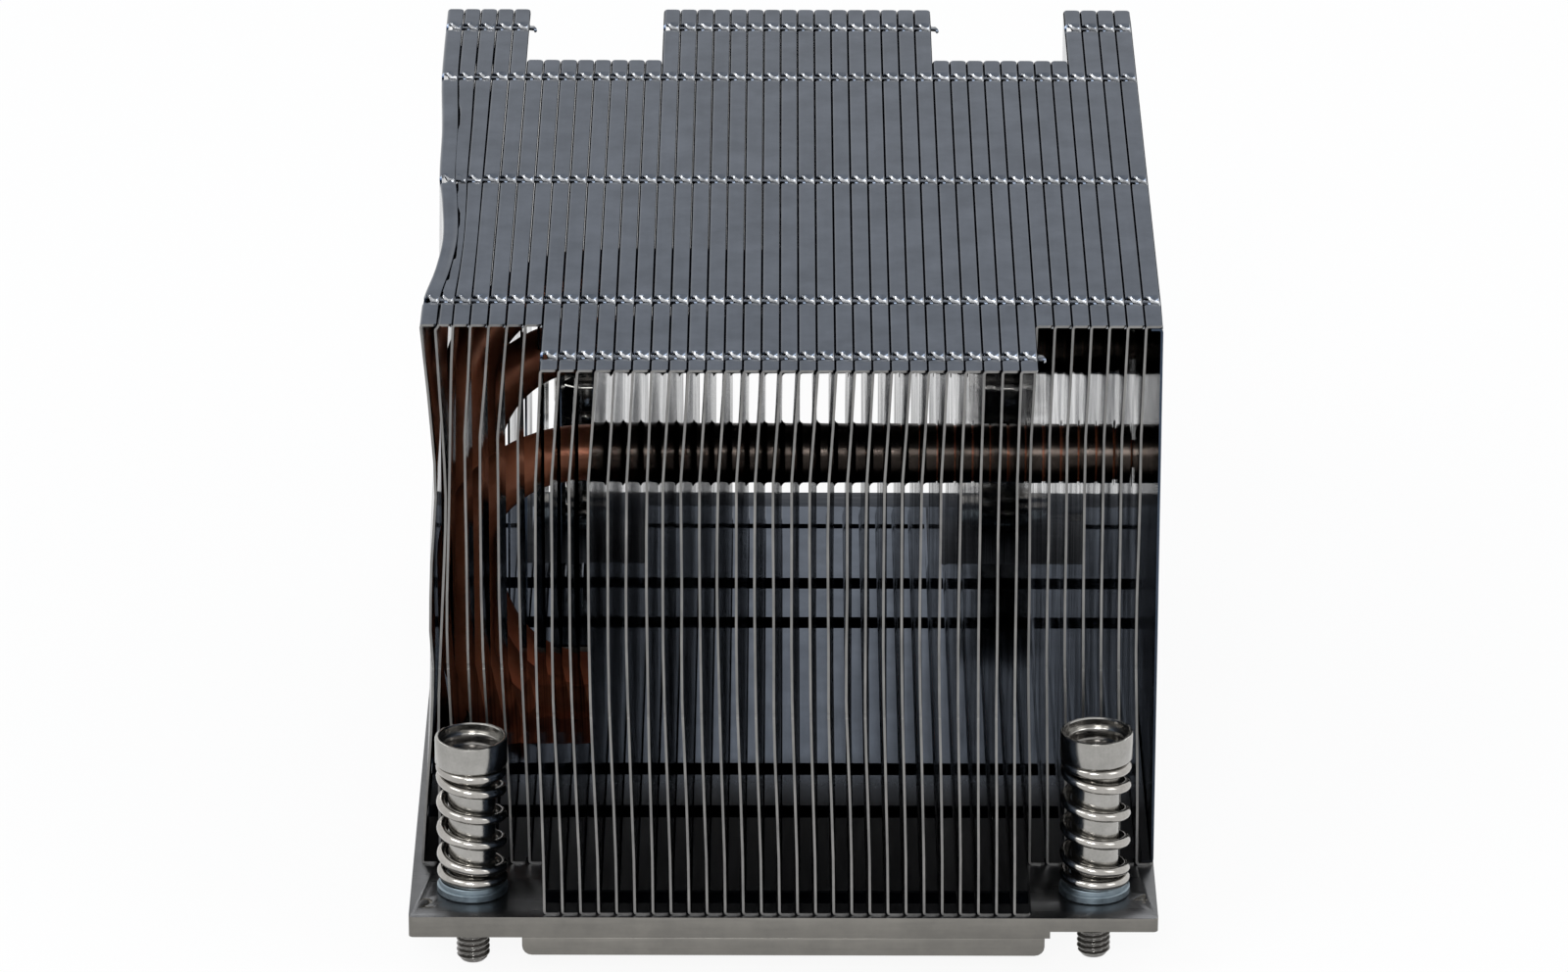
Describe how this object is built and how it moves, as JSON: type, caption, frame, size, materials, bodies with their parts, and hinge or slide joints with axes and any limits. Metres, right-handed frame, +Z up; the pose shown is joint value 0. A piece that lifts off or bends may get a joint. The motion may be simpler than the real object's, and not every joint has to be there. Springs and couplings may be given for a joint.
{
  "type": "passive server cpu heatsink",
  "caption": "Passive heatsink for a long server processor socket: folded fin stack, heat pipes, base plate with contact block and captive spring screws.",
  "frame": {"origin": "centre of the contact face under the contact block, the face that touches the processor", "axes": "+Z up from the contact face through the fins, +Y along the air channels towards the end whose fin stack has the two notches, +X to the right seen from the end with the cut corners (the -Y end)"},
  "size_m": [0.0768, 0.1175, 0.0675],
  "materials": {
    "plated_copper": "nickel-plated copper, satin, lightly machined",
    "bare_copper": "bare copper tube, dark and tarnished",
    "plated_fins": "nickel-plated sheet, blue-grey, satin with mirror-like walls",
    "zinc_washers": "blue-grey zinc plating",
    "bright_steel": "bright nickel-plated steel"
  },
  "bodies": {
    "root": {"base_plate": "plated_copper", "contact_block": "plated_copper", "pipe_front": "bare_copper", "pipe_middle": "bare_copper", "pipe_rear": "bare_copper", "fin_01": "plated_fins", "fin_02": "plated_fins", "fin_03": "plated_fins", "fin_04": "plated_fins", "fin_05": "plated_fins", "fin_06": "plated_fins", "fin_07": "plated_fins", "fin_08": "plated_fins", "fin_09": "plated_fins", "fin_10": "plated_fins", "fin_11": "plated_fins", "fin_12": "plated_fins", "fin_13": "plated_fins", "fin_14": "plated_fins", "fin_15": "plated_fins", "fin_16": "plated_fins", "fin_17": "plated_fins", "fin_18": "plated_fins", "fin_19": "plated_fins", "fin_20": "plated_fins", "fin_21": "plated_fins", "fin_22": "plated_fins", "fin_23": "plated_fins", "fin_24": "plated_fins", "fin_25": "plated_fins", "fin_26": "plated_fins", "fin_27": "plated_fins", "fin_28": "plated_fins", "fin_29": "plated_fins", "fin_30": "plated_fins", "fin_31": "plated_fins", "fin_32": "plated_fins", "fin_33": "plated_fins", "fin_34": "plated_fins", "fin_35": "plated_fins", "fin_36": "plated_fins", "fin_37": "plated_fins", "fin_38": "plated_fins", "fin_39": "plated_fins", "fin_40": "plated_fins", "fin_41": "plated_fins", "end_fin": "plated_fins", "washers": "zinc_washers", "spring_front_left": "bright_steel", "spring_front_right": "bright_steel", "spring_rear_left": "bright_steel", "spring_rear_right": "bright_steel"},
    "retainer_front_left": {"retainer_front_left": "bright_steel"},
    "screw_front_left": {"screw_front_left": "bright_steel"},
    "retainer_front_right": {"retainer_front_right": "bright_steel"},
    "screw_front_right": {"screw_front_right": "bright_steel"},
    "retainer_rear_left": {"retainer_rear_left": "bright_steel"},
    "screw_rear_left": {"screw_rear_left": "bright_steel"},
    "retainer_rear_right": {"retainer_rear_right": "bright_steel"},
    "screw_rear_right": {"screw_rear_right": "bright_steel"}
  },
  "joints": [
    {"name": "press_front_left", "type": "slide", "parent": "root", "child": "retainer_front_left", "axis": [0, 0, -1], "range_m": [0, 0.0045], "stiffness_N_per_m": 6000, "springref_m": -0.002, "deforming": ["spring_front_left"]},
    {"name": "turn_front_left", "type": "hinge", "parent": "retainer_front_left", "child": "screw_front_left", "pos_m": [-0.032, -0.0425, 0.0185], "axis": [0, 0, 1], "continuous": true},
    {"name": "press_front_right", "type": "slide", "parent": "root", "child": "retainer_front_right", "axis": [0, 0, -1], "range_m": [0, 0.0045], "stiffness_N_per_m": 6000, "springref_m": -0.002, "deforming": ["spring_front_right"]},
    {"name": "turn_front_right", "type": "hinge", "parent": "retainer_front_right", "child": "screw_front_right", "pos_m": [0.032, -0.0425, 0.01925], "axis": [0, 0, 1], "continuous": true},
    {"name": "press_rear_left", "type": "slide", "parent": "root", "child": "retainer_rear_left", "axis": [0, 0, -1], "range_m": [0, 0.0045], "stiffness_N_per_m": 6000, "springref_m": -0.002, "deforming": ["spring_rear_left"]},
    {"name": "turn_rear_left", "type": "hinge", "parent": "retainer_rear_left", "child": "screw_rear_left", "pos_m": [-0.0222, 0.06, 0.0185], "axis": [0, 0, 1], "continuous": true},
    {"name": "press_rear_right", "type": "slide", "parent": "root", "child": "retainer_rear_right", "axis": [0, 0, -1], "range_m": [0, 0.0045], "stiffness_N_per_m": 6000, "springref_m": -0.002, "deforming": ["spring_rear_right"]},
    {"name": "turn_rear_right", "type": "hinge", "parent": "retainer_rear_right", "child": "screw_rear_right", "pos_m": [0.0222, 0.06, 0.0185], "axis": [0, 0, 1], "continuous": true}
  ]
}
